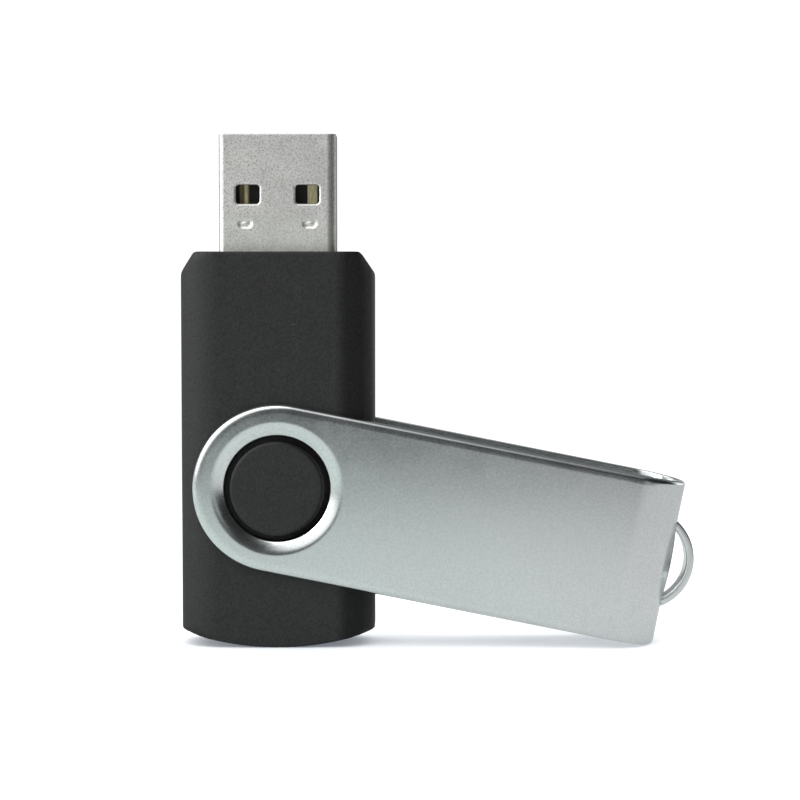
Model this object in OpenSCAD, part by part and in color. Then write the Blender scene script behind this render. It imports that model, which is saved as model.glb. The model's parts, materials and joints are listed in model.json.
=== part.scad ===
// USB flash drive with a swivel cover.
// Origin: centre of the plug, where it leaves the housing's shoulder.
// +Z points to the plug's tip, +X to the side the cover is turned to, -Y is the front.

/* [Housing] */
// Width of the housing
body_w = 19.9; // [19.4:0.1:20.4]
// Length of the housing, from its shoulder to the lowest point of its round end
body_l = 40.5; // [40:0.1:41]
// Thickness of the housing
body_t = 8.2; // [8:0.1:8.4]
// Distance from the shoulder down to the swivel axis
pivot_drop = 24.1; // [23.6:0.1:24.2]
// Radius of the round end
end_r = 29; // [26:1:34]

/* [Plug] */
// Width of the metal shell
plug_w = 12; // [11.9:0.05:12.1]
// Height of the metal shell
plug_t = 4.5; // [4.4:0.05:4.6]
// Length that stands out of the housing
plug_out = 12; // [11.75:0.05:12.2]

/* [Swivel cover] */
// Thickness of the bent sheet
sheet = 0.8; // [0.7:0.05:0.8]
// Width of the cover
cover_w = 17.2; // [16.8:0.1:17.4]
// Distance from the swivel axis to the closed end
cover_reach = 41.3; // [40.8:0.1:42]
// Radius of the hole that turns on the housing's boss
eye_r = 5.4; // [5.3:0.05:5.5]
// Radial clearance between the hole and the boss
running_gap = 0.08; // [0.05:0.01:0.1]
// How far the key-ring strap stands out of the closed end
loop_rise = 2.45; // [2.2:0.05:2.6]
// Turn of the cover, measured down from the +X direction, with its corner level with the round end
cover_turn = 11.25; // [0:0.25:14]

/* [Electronics] */
// Thickness of the circuit board
board_t = 1; // [0.9:0.05:1]
// Width of the circuit board
board_w = 13; // [12.6:0.1:13]
// Leads on one side of the memory package
flash_leads = 24; // [16:1:24]

/* [Hidden] */
$fn = 96;
reach = 60;

// Housing shape
wall = 1.4;
half_t = body_t / 2;
face_half_w = 5.9;
shoulder_r = 5.5;
shoulder_turn = 40;
edge_r = (body_w / 2 - face_half_w - shoulder_r * sin(shoulder_turn)) / (1 - sin(shoulder_turn));
chamfer_x = 1.5;
chamfer_z = 2.2;
groove_depth = 0.7;
groove_r = eye_r + 1.8;
gap = 0.15;
lip_w = 0.6;
lip_h = 0.8;
lip_gap = 0.1;
peg_r = 0.5;
peg_len = 1.5;
post_r = 0.9;
fit = 0.05;
posts = [for (x = [-7.55, 7.55], z = [-9, -33.5]) [x, z]];

// Cover shape
cover_half_t = half_t + gap + sheet;
bend_u = cover_reach - cover_half_t;
corner_r = 0.5;
dish_r = eye_r + 1.35;
dish_depth = 0.7;
dish_join_r = eye_r + 1.7;
boss_r = eye_r - running_gap;
cap_r = boss_r - 0.5;
cap_round = 0.15;
cap_top = cover_half_t - 0.12;
step_y = half_t - 0.2;
strap_w = 2.4;
slot_w = 2.7;
strap_half = 4.45;
strap_r = (pow(strap_half, 2) + pow(loop_rise, 2)) / (2 * loop_rise);
strap_u = cover_reach + loop_rise - strap_r;
slot_half = sqrt(pow(strap_r - sheet, 2) - pow(cover_reach - sheet - strap_u, 2));

// Plug shape
plug_sheet = 0.3;
plug_corner = 0.55;
plug_in = 5.6;
window_w = 2.5;
window_h = 2;
window_x = 3.05;
window_z = plug_out - 6.15;
window_corner = 0.45;
tongue_recess = 0.4;
block_end = 0.6;
contact_w = 1;
contact_t = 0.2;
tail_end = -8.2;
tab_w = 1.6;
tab_len = 2;

// Circuit board: its front face carries the controller, its rear face the memory
board_y = 0.05;
board_back = board_y + board_t;
board_top = -5.7;
board_bottom = -36.4;
pad_t = 0.05;
memory = [12, 18.4, 1];
memory_z = -22;
controller = [7, 7, 1.4];
controller_z = -14.2;
lead_t = 0.13;
lead_pitch = 0.5;
lead_w = 0.22;
chip_lift = 0.1;
crystal_place = [-3, -21.6];
crystal_base_h = 0.35;
regulator_place = [3, -21.8];

// Chip components: size along, across and above the board, and places on its front face
chip_cap = 0.25;
capacitor = [1.6, 0.8, 0.8];
resistor = [1, 0.5, 0.35];
fuse = [2, 1.25, 0.9];
capacitor_places = [for (x = [-4.6, -2, 2, 4.6], z = [-25.2, -27.2]) [x, z]];
resistor_places = [for (x = [-4.5, -2.6, 2.6, 4.5]) [x, -31.5]];
fuse_place = [0, -34];

// ---------- shared shapes ----------

// A quarter of the housing's cross-section: a flat face, a wide shoulder arc and a tight edge arc
function shoulder_points(steps = 8) = let (
    wide_c = [face_half_w, half_t - shoulder_r],
    tight_c = [body_w / 2 - edge_r, half_t - shoulder_r + (shoulder_r - edge_r) * cos(shoulder_turn)]
) concat(
    [for (i = [0:steps]) let (a = shoulder_turn * i / steps) wide_c + shoulder_r * [sin(a), cos(a)]],
    [for (i = [1:steps]) let (a = shoulder_turn + (90 - shoulder_turn) * i / steps)
        tight_c + edge_r * [sin(a), cos(a)]]
);

function turned(points, sx, sy) = [for (p = points) [p[0] * sx, p[1] * sy]];

function backwards(points) = [for (i = [len(points) - 1:-1:0]) points[i]];

module cross_section() {
    quarter = shoulder_points();
    polygon(concat(
        quarter,
        backwards(turned(quarter, 1, -1)),
        turned(quarter, -1, -1),
        backwards(turned(quarter, -1, 1))
    ));
}

// Front view of the housing: chamfered shoulders at the top and a shallow arc at the bottom
module front_outline() {
    intersection() {
        polygon([
            [-body_w / 2, -body_l], [-body_w / 2, -chamfer_z], [-body_w / 2 + chamfer_x, 0],
            [body_w / 2 - chamfer_x, 0], [body_w / 2, -chamfer_z], [body_w / 2, -body_l]
        ]);
        union() {
            translate([0, end_r - body_l]) circle(r = end_r, $fn = 160);
            translate([-reach / 2, end_r - body_l]) square([reach, reach]);
        }
    }
}

// The front view, drawn inset and made into a slab that runs from y0 to y1
module front_slab(y0, y1, inset) {
    translate([0, y1, 0]) rotate([90, 0, 0]) linear_extrude(y1 - y0) offset(delta = -inset) front_outline();
}

module housing_form(inset) {
    intersection() {
        translate([0, 0, -reach]) linear_extrude(reach + 1) offset(delta = -inset) cross_section();
        front_slab(-half_t, half_t, inset);
    }
}

// Turns a shape drawn along +Z so that it faces the front (-Y), at a place on the parting plane
module facing_front(x, z) {
    translate([x, 0, z]) rotate([90, 0, 0]) children();
}

// A box by its lowest corner and highest corner
module block(low, high) {
    translate(low) cube(high - low);
}

// A rectangle with round corners, made of exact arcs
module round_rect(w, h, r) {
    square([w - 2 * r, h], center = true);
    square([w, h - 2 * r], center = true);
    for (x = [-1, 1], y = [-1, 1]) translate([x * (w / 2 - r), y * (h / 2 - r)]) circle(r = r, $fn = 32);
}

// ---------- swivel cover ----------

// Drawn about the swivel axis, with its closed end along +X
module cover_side_profile(half) {
    translate([bend_u, 0]) circle(r = half);
    translate([-cover_w, -half]) square([cover_w + bend_u, 2 * half]);
}

module cover_plan() {
    circle(r = cover_w / 2);
    translate([0, -cover_w / 2]) square([cover_reach - corner_r, cover_w]);
    translate([0, -cover_w / 2 + corner_r]) square([cover_reach, cover_w - 2 * corner_r]);
    for (v = [-1, 1]) translate([cover_reach - corner_r, v * (cover_w / 2 - corner_r)])
        circle(r = corner_r, $fn = 32);
}

module bent_sheet() {
    intersection() {
        linear_extrude(cover_w + 2, center = true) difference() {
            cover_side_profile(cover_half_t);
            cover_side_profile(cover_half_t - sheet);
        }
        rotate([90, 0, 0]) linear_extrude(2 * cover_half_t + 2, center = true) cover_plan();
    }
}

// The rim of the swivel hole is pressed inwards as a shallow dish, into the housing's groove
module dish_ring() {
    top = cover_half_t;
    under = top - sheet;
    rotate([90, 0, 0]) rotate_extrude(convexity = 4) polygon([
        [dish_join_r, top], [dish_r, top], [dish_r - 0.35, top - 0.12],
        [eye_r + 0.3, top - dish_depth + 0.06], [eye_r, top - dish_depth], [eye_r, under - dish_depth],
        [eye_r + 0.45, under - dish_depth + 0.08], [dish_r - 0.1, under - 0.14], [dish_join_r, under]
    ]);
}

// A strap cut free between two slits and bowed out of the closed end, for a key ring
module key_strap() {
    rotate([90, 0, 0]) linear_extrude(strap_w, center = true) intersection() {
        translate([strap_u, 0]) difference() {
            circle(r = strap_r);
            circle(r = strap_r - sheet);
        }
        translate([cover_reach - sheet, -cover_w / 2]) square([cover_w, cover_w]);
    }
}

module swivel_cover() {
    color([0.74, 0.76, 0.77]) translate([0, 0, -pivot_drop]) rotate([0, cover_turn, 0]) {
        difference() {
            bent_sheet();
            rotate([90, 0, 0]) cylinder(r = dish_join_r, h = reach, center = true);
            block([bend_u, -slot_w / 2, -slot_half], [cover_reach + 1, slot_w / 2, slot_half]);
        }
        for (side = [0, 180]) rotate([0, 0, side]) dish_ring();
        key_strap();
    }
}

// ---------- housing ----------

module swivel_groove() {
    facing_front(0, -pivot_drop) translate([0, 0, half_t - groove_depth]) cylinder(r = groove_r, h = reach);
}

// The boss: a drum that the cover's hole turns on, and a narrower cap just below the cover's outer face
module swivel_boss() {
    facing_front(0, -pivot_drop) rotate_extrude(convexity = 4) polygon([
        [0, half_t - wall], [boss_r, half_t - wall], [boss_r, step_y], [cap_r, step_y],
        [cap_r, cap_top - cap_round], [cap_r - cap_round, cap_top], [0, cap_top]
    ]);
}

module plug_opening() {
    block([-plug_w / 2 - fit, -plug_t / 2 - fit, -2 * wall], [plug_w / 2 + fit, plug_t / 2 + fit, wall]);
}

// A bar across the inside of the housing that clamps the plug's shell
module plug_clamp() {
    block([-4, -half_t + wall - 0.2, -4.4], [4, -plug_t / 2 - fit, -3.6]);
}

// Blocks that press on the circuit board's long edges
module board_stops(heights, y0, y1) {
    for (x = [-1, 1], z = heights) block([x * 6 - 0.4, y0, z - 0.4], [x * 6 + 0.4, y1, z + 0.4]);
}

// A round post on the front wall, kept inside the curved shoulder
module posts_form() {
    intersection() {
        for (p = posts) facing_front(p[0], p[1]) cylinder(r = post_r, h = half_t, $fn = 32);
        housing_form(wall / 2);
        block([-reach, -reach, -reach], [reach, -fit, reach]);
    }
}

// Half of the housing, drawn as the front one; the rear half is this form mirrored
module shell_form() {
    difference() {
        housing_form(0);
        housing_form(wall);
        swivel_groove();
        plug_opening();
        block([-reach, 0, -reach], [reach, reach, reach]);
    }
    swivel_boss();
    plug_clamp();
    posts_form();
}

// The front half has a step inside its rim and a blind socket in each post
module front_shell() {
    color([0.2, 0.2, 0.2]) difference() {
        union() {
            shell_form();
            board_stops([-20, -30], -half_t + wall - 0.2, board_y - fit);
        }
        difference() {
            front_slab(-lip_h - lip_gap, 1, wall - lip_w - lip_gap);
            front_slab(-lip_h - 2 * lip_gap, 2, wall);
        }
        for (p = posts) facing_front(p[0], p[1]) cylinder(r = peg_r + fit, h = peg_len + 0.2, $fn = 32);
    }
}

// The rear half has a lip that stands into the front half's step, and a peg on each post
module rear_shell() {
    color([0.18, 0.18, 0.18]) {
        mirror([0, 1, 0]) shell_form();
        board_stops([-10.5, -34.5], board_back + fit, half_t - wall + 0.2);
        for (p = posts) facing_front(p[0], p[1]) translate([0, 0, -1])
            cylinder(r = peg_r, h = peg_len + 1, $fn = 32);
        difference() {
            front_slab(-lip_h, 0.1, wall - lip_w);
            front_slab(-lip_h - 1, 1, wall);
            plug_opening();
        }
    }
}

// ---------- plug ----------

module tube(w, t, r, z0, z1) {
    translate([0, 0, z0]) linear_extrude(z1 - z0) round_rect(w, t, r);
}

// The joint of the rolled shell: a narrow slit with one dovetail, down the middle of the rear face
module shell_seam() {
    slit = 0.06;
    neck = 0.7;
    head = 1.1;
    z0 = 4.6;
    z1 = 6.6;
    translate([0, plug_t, 0]) rotate([90, 0, 0]) linear_extrude(plug_t - 0.2) {
        translate([-slit / 2, -reach / 2]) square([slit, reach / 2 + z0 + slit]);
        translate([-slit / 2, z1]) square([slit, reach]);
        difference() {
            polygon([[-slit / 2, z0], [neck, z0], [head, z1 + slit], [-slit / 2, z1 + slit]]);
            polygon([[-1, z0 + slit], [neck - slit, z0 + slit], [head - slit, z1], [-1, z1]]);
        }
    }
}

module plug_shell() {
    inner_w = plug_w - 2 * plug_sheet;
    inner_t = plug_t - 2 * plug_sheet;
    color([0.7, 0.69, 0.67]) {
        difference() {
            tube(plug_w, plug_t, plug_corner, -plug_in, plug_out);
            tube(inner_w, inner_t, plug_corner - plug_sheet, -plug_in - 1, plug_out + 1);
            for (x = [-1, 1]) translate([x * window_x, 0, window_z]) rotate([90, 0, 0])
                linear_extrude(2 * plug_t, center = true) round_rect(window_w, window_h, window_corner);
            shell_seam();
        }
        for (x = [-1, 1]) block(
            [x * (plug_w - plug_sheet) / 2 - plug_sheet / 2, -tab_w / 2 + 0.5, -plug_in - tab_len],
            [x * (plug_w - plug_sheet) / 2 + plug_sheet / 2, tab_w / 2 + 0.5, -plug_in]
        );
    }
}

// The moulded insert: a tongue on the rear half of the mouth, and a block that closes it behind
module plug_insulator() {
    w = plug_w - 2 * plug_sheet - 2 * fit;
    t = plug_t - 2 * plug_sheet - 2 * fit;
    color([0.12, 0.12, 0.13]) difference() {
        tube(w, t, plug_corner - plug_sheet, -plug_in, plug_out - tongue_recess);
        block([-plug_w, -plug_t, block_end], [plug_w, 0, plug_out]);
        for (x = [-3.5, -1, 1, 3.5]) block([x - contact_w / 2 - fit, -contact_t - fit, -plug_in - 1],
            [x + contact_w / 2 + fit, 0, block_end + 1]);
    }
}

// Flat spring contacts along the tongue, with tails that lie on the board
module contact_pair(x, z_end) {
    color([0.85, 0.68, 0.3]) for (side = [-1, 1]) block(
        [side * x - contact_w / 2, -contact_t, tail_end], [side * x + contact_w / 2, 0, z_end]);
}

module power_contacts() {
    contact_pair(3.5, plug_out - 1.1);
}

module data_contacts() {
    contact_pair(1, plug_out - 2.1);
}

// ---------- circuit board ----------

module circuit_board() {
    color([0.05, 0.3, 0.18]) difference() {
        block([-board_w / 2, board_y, board_bottom], [board_w / 2, board_back, board_top]);
        for (x = [-1, 1]) block(
            [x * (plug_w - plug_sheet) / 2 - 0.25, -1, -plug_in - tab_len - 0.1],
            [x * (plug_w - plug_sheet) / 2 + 0.25, 2, board_top + 1]);
    }
}

module contact_pads() {
    color([0.8, 0.6, 0.3]) for (x = [-3.5, -1, 1, 3.5])
        block([x - 0.65, board_y - pad_t, tail_end - 0.7], [x + 0.65, board_y, board_top - 0.1]);
}

// Solder at the end of each contact tail, and beside each tab of the plug's shell
module plug_solder_joints() {
    color([0.75, 0.76, 0.78]) {
        for (x = [-3.5, -1, 1, 3.5]) translate([x, board_y - pad_t, tail_end]) rotate([0, 90, 0])
            linear_extrude(contact_w, center = true) polygon([[0, 0], [0, -contact_t], [0.6, 0]]);
        for (x = [-1, 1]) translate([x * (plug_w / 2 - plug_sheet), board_y, -plug_in - tab_len / 2])
            linear_extrude(1.2, center = true) polygon([[0, 0], [0, -0.5], [-x * 0.6, 0]]);
    }
}

// ---------- components ----------

// Places a component drawn with +Z away from the board, on the front or the rear face
module on_front(x, z) {
    translate([x, board_y, z]) rotate([90, 0, 0]) children();
}

module on_rear(x, z) {
    translate([x, board_back, z]) rotate([-90, 0, 0]) children();
}

// A moulded package with drafted sides and a pin-1 dimple
module package(size) {
    draft = 0.12;
    translate([0, 0, chip_lift]) difference() {
        intersection() {
            rotate([90, 0, 0]) linear_extrude(size[1], center = true) polygon([
                [-size[0] / 2 + draft, 0], [size[0] / 2 - draft, 0], [size[0] / 2, size[2] / 2],
                [size[0] / 2 - draft, size[2]], [-size[0] / 2 + draft, size[2]], [-size[0] / 2, size[2] / 2]
            ]);
            rotate([90, 0, 90]) linear_extrude(size[0], center = true) polygon([
                [-size[1] / 2 + draft, 0], [size[1] / 2 - draft, 0], [size[1] / 2, size[2] / 2],
                [size[1] / 2 - draft, size[2]], [-size[1] / 2 + draft, size[2]], [-size[1] / 2, size[2] / 2]
            ]);
        }
        translate([1.1 - size[0] / 2, 1.1 - size[1] / 2, size[2] - 0.08]) cylinder(r = 0.45, h = 1, $fn = 24);
    }
}

// A row of gull-wing leads whose shoulders leave a package's side at half its height
module lead_row(count, half_body, height, length) {
    top = chip_lift + height / 2 + lead_t / 2;
    for (i = [0:count - 1]) translate([(i - (count - 1) / 2) * lead_pitch, half_body, 0])
        rotate([90, 0, 90]) linear_extrude(lead_w, center = true) polygon([
            [0, top - lead_t], [0, top], [length * 0.4, top], [length * 0.55, lead_t],
            [length, lead_t], [length, 0], [length * 0.45, 0], [length * 0.3, top - lead_t]
        ]);
}

module flash_memory() {
    color([0.1, 0.1, 0.11]) on_rear(0, memory_z) package(memory);
}

module flash_memory_leads() {
    color([0.75, 0.75, 0.77]) on_rear(0, memory_z) for (turn = [0, 180])
        rotate([0, 0, turn]) lead_row(flash_leads, memory[1] / 2, memory[2], 0.8);
}

module controller_chip() {
    color([0.1, 0.1, 0.11]) on_front(0, controller_z) package(controller);
}

module controller_leads() {
    color([0.75, 0.75, 0.77]) on_front(0, controller_z) for (turn = [0:90:270])
        rotate([0, 0, turn]) lead_row(12, controller[1] / 2, controller[2], 1);
}

module crystal_base() {
    color([0.25, 0.24, 0.22]) on_front(crystal_place[0], crystal_place[1])
        linear_extrude(crystal_base_h) round_rect(3.2, 2.5, 0.2);
}

module crystal_can() {
    color([0.8, 0.8, 0.8]) on_front(crystal_place[0], crystal_place[1]) translate([0, 0, crystal_base_h])
        linear_extrude(0.4) round_rect(2.9, 2.2, 0.3);
}

module regulator_body() {
    color([0.1, 0.1, 0.11]) on_front(regulator_place[0], regulator_place[1]) package([2.9, 1.3, 1]);
}

module regulator_leads() {
    color([0.75, 0.75, 0.77]) on_front(regulator_place[0], regulator_place[1]) {
        for (x = [-0.95, 0.95]) translate([x, 0, 0]) lead_row(1, 0.65, 1, 0.55);
        rotate([0, 0, 180]) lead_row(1, 0.65, 1, 0.55);
    }
}

// A chip component along X: its ceramic body between two end caps
module chip_middle(size) {
    translate([-size[0] / 2 + chip_cap, -size[1] / 2, 0.02]) cube([size[0] - 2 * chip_cap, size[1], size[2]]);
}

module chip_ends(size) {
    for (x = [-size[0] / 2, size[0] / 2 - chip_cap])
        translate([x, -size[1] / 2, 0]) cube([chip_cap, size[1], size[2] + 0.04]);
}

module capacitor_bodies() {
    color([0.62, 0.5, 0.36]) for (p = capacitor_places) on_front(p[0], p[1]) chip_middle(capacitor);
}

module capacitor_terminals() {
    color([0.78, 0.78, 0.8]) for (p = capacitor_places) on_front(p[0], p[1]) chip_ends(capacitor);
}

module resistor_bodies() {
    color([0.08, 0.08, 0.09]) for (p = resistor_places) on_front(p[0], p[1]) chip_middle(resistor);
}

module resistor_terminals() {
    color([0.78, 0.78, 0.8]) for (p = resistor_places) on_front(p[0], p[1]) chip_ends(resistor);
}

module fuse_body() {
    color([0.1, 0.35, 0.2]) on_front(fuse_place[0], fuse_place[1]) chip_middle(fuse);
}

module fuse_terminals() {
    color([0.78, 0.78, 0.8]) on_front(fuse_place[0], fuse_place[1]) chip_ends(fuse);
}

swivel_cover();
front_shell();
rear_shell();
plug_shell();
plug_insulator();
power_contacts();
data_contacts();
circuit_board();
contact_pads();
flash_memory();
flash_memory_leads();
controller_chip();
controller_leads();
crystal_base();
crystal_can();
regulator_body();
regulator_leads();
capacitor_bodies();
capacitor_terminals();
resistor_bodies();
resistor_terminals();
fuse_body();
fuse_terminals();
plug_solder_joints();
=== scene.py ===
# Looks of a USB flash drive with a swivel cover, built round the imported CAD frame.
import json
import math

import bmesh
import bpy
from mathutils import Matrix, Vector

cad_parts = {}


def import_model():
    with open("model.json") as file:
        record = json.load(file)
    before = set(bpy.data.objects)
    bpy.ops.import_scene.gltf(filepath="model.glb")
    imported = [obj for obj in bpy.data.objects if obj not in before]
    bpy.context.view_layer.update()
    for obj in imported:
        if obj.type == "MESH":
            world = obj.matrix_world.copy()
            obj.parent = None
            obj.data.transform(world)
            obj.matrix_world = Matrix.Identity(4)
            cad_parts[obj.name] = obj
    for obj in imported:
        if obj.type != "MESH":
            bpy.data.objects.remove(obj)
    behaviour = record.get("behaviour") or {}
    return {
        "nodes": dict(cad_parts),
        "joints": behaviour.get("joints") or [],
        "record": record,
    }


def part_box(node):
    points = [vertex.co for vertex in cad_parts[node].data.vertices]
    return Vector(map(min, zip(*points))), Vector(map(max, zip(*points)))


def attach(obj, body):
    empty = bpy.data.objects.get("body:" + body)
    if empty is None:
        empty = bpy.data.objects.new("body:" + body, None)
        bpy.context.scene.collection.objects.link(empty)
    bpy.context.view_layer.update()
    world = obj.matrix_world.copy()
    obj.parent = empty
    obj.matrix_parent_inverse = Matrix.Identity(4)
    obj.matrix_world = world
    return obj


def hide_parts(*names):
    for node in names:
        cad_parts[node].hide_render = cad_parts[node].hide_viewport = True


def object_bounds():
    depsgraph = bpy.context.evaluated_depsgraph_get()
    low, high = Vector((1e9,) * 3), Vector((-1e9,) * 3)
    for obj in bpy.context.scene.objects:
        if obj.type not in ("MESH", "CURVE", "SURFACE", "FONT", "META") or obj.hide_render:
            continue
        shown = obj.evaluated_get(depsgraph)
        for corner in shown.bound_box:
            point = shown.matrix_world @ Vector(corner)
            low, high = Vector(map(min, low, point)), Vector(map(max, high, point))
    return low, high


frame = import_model()
CAD_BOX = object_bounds()

# ---------- sizes, in millimetres ----------

# they are the CAD source's values, except for the depth of the dish and for the small roundings
MM = 0.001


def box_mm(node):
    low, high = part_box(node)
    return low / MM, high / MM


SHELL_LOW, SHELL_HIGH = box_mm("front_shell")
COVER_HIGH = box_mm("swivel_cover")[1]
PLUG_HIGH = box_mm("plug_shell")[1]

BODY_HALF_W = SHELL_HIGH.x
BODY_BOTTOM = SHELL_LOW.z
PIVOT = Vector(frame["joints"][0]["pos_m"]) / MM
COVER_HALF_T = COVER_HIGH.y
SHEET = 0.8
GAP = 0.15
HALF_T = COVER_HALF_T - SHEET - GAP
WALL = 1.4
FACE_HALF_W = 5.9
SHOULDER_R = 5.5
SHOULDER_TURN = math.radians(40)
CHAMFER_X = 1.5
CHAMFER_Z = 2.2
END_R = 29.0
END_FILLET = 0.3

EYE_R = 5.4
BOSS_R = EYE_R - 0.08
CAP_R = BOSS_R - 0.5
CAP_TOP = COVER_HALF_T - 0.12
CAP_ROUND = 0.34
CAP_RINGS = (4.2, 3.2, 2.2, 1.2, 0.5)
STEP_Y = HALF_T - 0.2
GROOVE_R = EYE_R + 1.8
GROOVE_FLOOR = HALF_T - 0.7
GROOVE_LIP = 0.12
INNER_FLAT_R = 2.0
INNER_LEVELS = (
    # half width and depth, from the flat inside of the face to the parting line
    (5.6, HALF_T - WALL), (7.2, 2.5), (8.1, 2.1), (8.5, 1.5),
    (BODY_HALF_W - WALL, 0.3), (BODY_HALF_W - WALL, 0.0),
)
CORNER_SHARPNESS = 220
CHAMFER_SHARE = 0.7

# the cover lies along U, from the swivel axis to its closed end, and is V wide
COVER_HALF_W = 8.6
COVER_REACH = 41.3
COVER_TURN = math.radians(11.25)
BEND_U = COVER_REACH - COVER_HALF_T
DISH_DEPTH = 0.50
DISH_OUTER_R = EYE_R + 1.45
DISH_CURVED = 0.75
DISH_POWER = 2.2
JOIN_R = EYE_R + 1.7
HOLE_LIP = 0.05
STRAP_HALF_W = 1.2
STRAP_RISE = 2.45
STRAP_HALF_CHORD = 4.45
STRAP_R = (STRAP_HALF_CHORD ** 2 + STRAP_RISE ** 2) / (2 * STRAP_RISE)
STRAP_U = COVER_REACH + STRAP_RISE - STRAP_R
STRAP_SHIFT = -0.12
STRAP_SLACK = 0.004
STRAP_SINK = 0.25
STRAP_ROOT_R = 0.9
STRAP_ROUND = 0.18
STRAP_TAIL = (0.1, 0.8)

PLUG_HALF_W = PLUG_HIGH.x
PLUG_HALF_T = PLUG_HIGH.y
PLUG_TIP = PLUG_HIGH.z
PLUG_TAIL = -5.6
PLUG_SHEET = 0.3
PLUG_CORNER = 0.55
PLUG_TIP_ROUND = 0.1
WINDOW_X = 3.05
WINDOW_Z = PLUG_TIP - 6.15
WINDOW_HALF_W = 1.2
WINDOW_HALF_H = 0.95
WINDOW_CORNER = 0.32
WINDOW_ROUND = 0.24
DIMPLE_X = 3.3
DIMPLE_Z = PLUG_TIP - 9.1
DIMPLE_LEVELS = (
    # half width, half height and depth, from above the face to the low raised middle
    (0.86, 0.62, -0.3), (0.83, 0.58, 0.0), (0.72, 0.47, 0.05), (0.56, 0.32, 0.15),
    (0.42, 0.2, 0.16), (0.24, 0.1, 0.1), (0.1, 0.05, 0.08),
)
SEAM_HALF_W = 0.035
SEAM_DEPTH = 0.12
GOLD_LINE_X = -3.32
PAINTED_DARK_BAND_X = 5.45

WELD = 1e-7
TINY = 1e-6


# ---------- mesh helpers ----------

def smoothstep(t):
    t = max(0.0, min(1.0, t))
    return t * t * (3 - 2 * t)


def add_object(name, data):
    ob = bpy.data.objects.new(name, data)
    bpy.context.scene.collection.objects.link(ob)
    return ob


def build(name, points, faces):
    """A welded mesh object from points in millimetres."""
    mesh = bpy.data.meshes.new(name)
    mesh.from_pydata([Vector(p) * MM for p in points], [], faces)
    bm = bmesh.new()
    bm.from_mesh(mesh)
    bmesh.ops.remove_doubles(bm, verts=bm.verts, dist=WELD)
    bmesh.ops.dissolve_degenerate(bm, edges=bm.edges, dist=WELD)
    bmesh.ops.recalc_face_normals(bm, faces=bm.faces)
    bm.to_mesh(mesh)
    bm.free()
    return add_object(name, mesh)


def stitch(rings, cyclic=False):
    """Quads between rings of equal length. The ends are closed, or joined to each other if cyclic."""
    n = len(rings[0])
    points = [p for ring in rings for p in ring]
    faces = []
    pairs = [(i, i + 1) for i in range(len(rings) - 1)]
    if cyclic:
        pairs.append((len(rings) - 1, 0))
    for a, b in pairs:
        for j in range(n):
            k = (j + 1) % n
            faces.append((a * n + j, a * n + k, b * n + k, b * n + j))
    if not cyclic:
        for row in (0, len(rings) - 1):
            centre = len(points)
            points.append(sum((Vector(p) for p in rings[row]), Vector()) / n)
            faces += [(row * n + j, row * n + (j + 1) % n, centre) for j in range(n)]
    return points, faces


def wear(ob, *looks):
    """Gives an object its materials."""
    ob.data.materials.clear()
    for look in looks:
        ob.data.materials.append(look)


def boolean(ob, other, operation):
    """Joins other to ob or cuts it out of ob, and removes other."""
    m = ob.modifiers.new("cut", "BOOLEAN")
    m.operation = operation
    m.solver = "EXACT"
    m.object = other
    graph = bpy.context.evaluated_depsgraph_get()
    mesh = bpy.data.meshes.new_from_object(ob.evaluated_get(graph))
    ob.modifiers.clear()
    ob.data = mesh
    bpy.data.objects.remove(other)


def smooth(ob, flats=False):
    """Smooth shading. With flats, faces square to an axis keep their own flat shading."""
    square_on = 0.99995
    bm = bmesh.new()
    bm.from_mesh(ob.data)
    for f in bm.faces:
        f.smooth = True
    if flats:
        for e in bm.edges:
            square = [max(abs(c) for c in f.normal) > square_on for f in e.link_faces]
            if len(square) == 2 and square[0] != square[1]:
                e.smooth = False
    bm.to_mesh(ob.data)
    bm.free()
    m = ob.modifiers.new("normals", "WEIGHTED_NORMAL")
    m.keep_sharp = True
    m.weight = 60


def arc(centre, radius, start, end, steps):
    """Points along an arc, from angle start to angle end in degrees, both included."""
    points = []
    for i in range(steps + 1):
        a = math.radians(start + (end - start) * i / steps)
        points.append((centre[0] + radius * math.cos(a), centre[1] + radius * math.sin(a)))
    return points


def rounded_rect(half_w, half_h, r, steps=8):
    """Points round a rectangle with rounded corners, centred on 0, 0."""
    points = []
    for k, (sx, sy) in enumerate(((1, 1), (-1, 1), (-1, -1), (1, -1))):
        points += arc((sx * (half_w - r), sy * (half_h - r)), r, 90 * k, 90 * k + 90, steps)
    return points


def prism(name, outline, low, high):
    """A closed prism along Z of an outline in x and y."""
    n = len(outline)
    points = [(x, y, level) for level in (low, high) for x, y in outline]
    faces = [(j, (j + 1) % n, n + (j + 1) % n, n + j) for j in range(n)]
    faces += [tuple(range(n)), tuple(range(n, 2 * n))]
    return build(name, points, faces)


# ---------- housing ----------

def outer_levels():
    """(half width, depth) along the housing's side, from the parting line to the flat face."""
    parting_groove = [(BODY_HALF_W - 0.1, 0.0), (BODY_HALF_W - 0.03, 0.04), (BODY_HALF_W, 0.12)]
    line = parting_groove + [(BODY_HALF_W, 0.9)]
    reach = SHOULDER_R * math.sin(SHOULDER_TURN)
    edge_r = (BODY_HALF_W - FACE_HALF_W - reach) / (1 - math.sin(SHOULDER_TURN))
    tight = (BODY_HALF_W - edge_r, HALF_T - SHOULDER_R + (SHOULDER_R - edge_r) * math.cos(SHOULDER_TURN))
    wide = (FACE_HALF_W, HALF_T - SHOULDER_R)
    meet = 90 - math.degrees(SHOULDER_TURN)
    near_face = 82
    line += arc(tight, edge_r, 0, meet, 8)
    line += arc(wide, SHOULDER_R, meet, near_face, 8)[1:]
    line += arc(wide, SHOULDER_R, near_face, 90, 5)[1:]
    return line


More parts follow.
